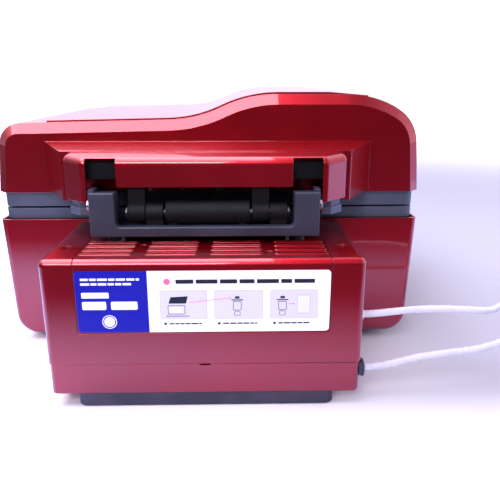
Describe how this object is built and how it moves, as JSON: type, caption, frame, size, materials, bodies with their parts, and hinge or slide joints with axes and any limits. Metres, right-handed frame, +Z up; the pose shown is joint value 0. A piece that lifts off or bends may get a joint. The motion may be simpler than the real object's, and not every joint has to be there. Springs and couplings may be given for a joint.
{
  "type": "vacuum mug heat press",
  "caption": "Bench sublimation press for mugs: vacuum tub with silicone membrane under a hinged heater lid, and a pump box with an external filter behind.",
  "frame": {"origin": "on the table plane, under the middle of the tub", "axes": "+Z up; +Y towards the operator's side, where the handle and console are; -Y is the hinge and pump box side; +X is the hose side"},
  "size_m": [0.701, 0.6216, 0.328],
  "materials": {
    "red_paint": "high-gloss metallic",
    "grey_band": "satin moulded",
    "black_plastic": "fine-grained moulded",
    "console_face": "gloss",
    "black_steel": "satin powder coat",
    "steel": "brushed",
    "spring_steel": "oiled",
    "aluminium": "rolled sheet",
    "reflector": "bright",
    "chrome": "polished",
    "rubber": "matt",
    "silicone": "translucent, soft",
    "seal": "silicone sponge",
    "hose": "translucent",
    "white_plastic": "gloss",
    "label": "laminated",
    "display": "tinted",
    "quartz": "frosted",
    "ceramic": "unglazed",
    "wool": "ceramic fibre",
    "circuit": "solder mask",
    "motor": "hammered",
    "pump": "cast",
    "key_grey": "satin",
    "key_red": "satin",
    "bowl": "clear",
    "sinter": "sintered",
    "brass": "satin"
  },
  "bodies": {
    "base": {"base_tub": "red_paint", "tub_rim": "grey_band", "pedestal_pan": "black_steel", "rubber_feet": "rubber", "vacuum_tray": "aluminium", "tray_seal": "seal", "perforated_plate": "steel", "tray_insulation": "wool", "tray_port_elbow": "brass", "vacuum_lines": "hose", "pump_box_body": "red_paint", "pump_box_cover": "red_paint", "pump_box_base": "red_paint", "cover_screws": "steel", "label_plate": "label", "hinge_support": "black_steel", "hinge_bracket": "black_plastic", "hinge_block_left": "black_plastic", "hinge_block_right": "black_plastic", "hinge_shaft": "spring_steel", "shaft_clips": "spring_steel", "torsion_spring": "spring_steel", "spring_cover": "black_plastic", "pump_motor": "motor", "pump_head": "pump", "pump_mounts": "rubber", "solenoid_valve": "brass", "power_board": "circuit", "fan_frame": "black_plastic", "power_inlet": "black_plastic", "switch_housing": "black_plastic", "hose_fittings": "black_plastic", "suction_hose": "hose", "return_hose": "hose", "filter_head": "black_steel", "filter_element": "sinter", "console_housing": "red_paint", "console_fascia": "console_face", "display_window": "display", "membrane_hinge_pins": "steel"},
    "lid": {"lid_shell": "red_paint", "lid_inner_frame": "grey_band", "lid_insulation": "wool", "heat_reflector": "reflector", "heater_tubes": "quartz", "heater_holders": "ceramic", "heater_guard": "steel", "temperature_probe": "steel", "lid_hinge_arms": "black_steel", "lid_handle": "black_plastic"},
    "membrane": {"membrane_frame": "aluminium", "silicone_membrane": "silicone"},
    "set_key": {"key_set": "key_grey"},
    "up_key": {"key_up": "key_grey"},
    "down_key": {"key_down": "key_grey"},
    "start_key": {"key_start": "key_red"},
    "rocker": {"switch_rocker": "key_red"},
    "rotor": {"fan_rotor": "black_plastic"},
    "bowl": {"filter_bowl": "bowl"},
    "drain": {"drain_valve": "brass"}
  },
  "joints": [
    {"name": "lid_hinge", "type": "hinge", "parent": "base", "child": "lid", "pos_m": [0, -0.288, 0.2], "axis": [1, 0, 0], "range_deg": [0, 75]},
    {"name": "membrane_hinge", "type": "hinge", "parent": "base", "child": "membrane", "pos_m": [0, -0.172, 0.183], "axis": [1, 0, 0], "range_deg": [0, 68]},
    {"name": "set_press", "type": "slide", "parent": "base", "child": "set_key", "axis": [0, 0.866, 0.5], "range_m": [-0.0012, 0], "stiffness_N_per_m": 800},
    {"name": "up_press", "type": "slide", "parent": "base", "child": "up_key", "axis": [0, 0.866, 0.5], "range_m": [-0.0012, 0], "stiffness_N_per_m": 800},
    {"name": "down_press", "type": "slide", "parent": "base", "child": "down_key", "axis": [0, 0.866, 0.5], "range_m": [-0.0012, 0], "stiffness_N_per_m": 800},
    {"name": "start_press", "type": "slide", "parent": "base", "child": "start_key", "axis": [0, 0.866, 0.5], "range_m": [-0.0012, 0], "stiffness_N_per_m": 800},
    {"name": "switch_rock", "type": "hinge", "parent": "base", "child": "rocker", "pos_m": [0.162, -0.291, 0.096], "axis": [0, 1, 0], "range_deg": [-16, 0]},
    {"name": "fan_spin", "type": "hinge", "parent": "base", "child": "rotor", "pos_m": [-0.153, -0.28, 0.1], "axis": [1, 0, 0], "continuous": true},
    {"name": "bowl_twist", "type": "hinge", "parent": "base", "child": "bowl", "pos_m": [0.4, -0.3, 0.04], "axis": [0, 0, 1], "range_deg": [0, 45]},
    {"name": "drain_push", "type": "slide", "parent": "bowl", "child": "drain", "axis": [0, 0, 1], "range_m": [0, 0.002], "stiffness_N_per_m": 300}
  ],
  "couplings": [
    {"joint": "membrane_hinge", "follows": "lid_hinge", "ratio": 0.9}
  ]
}
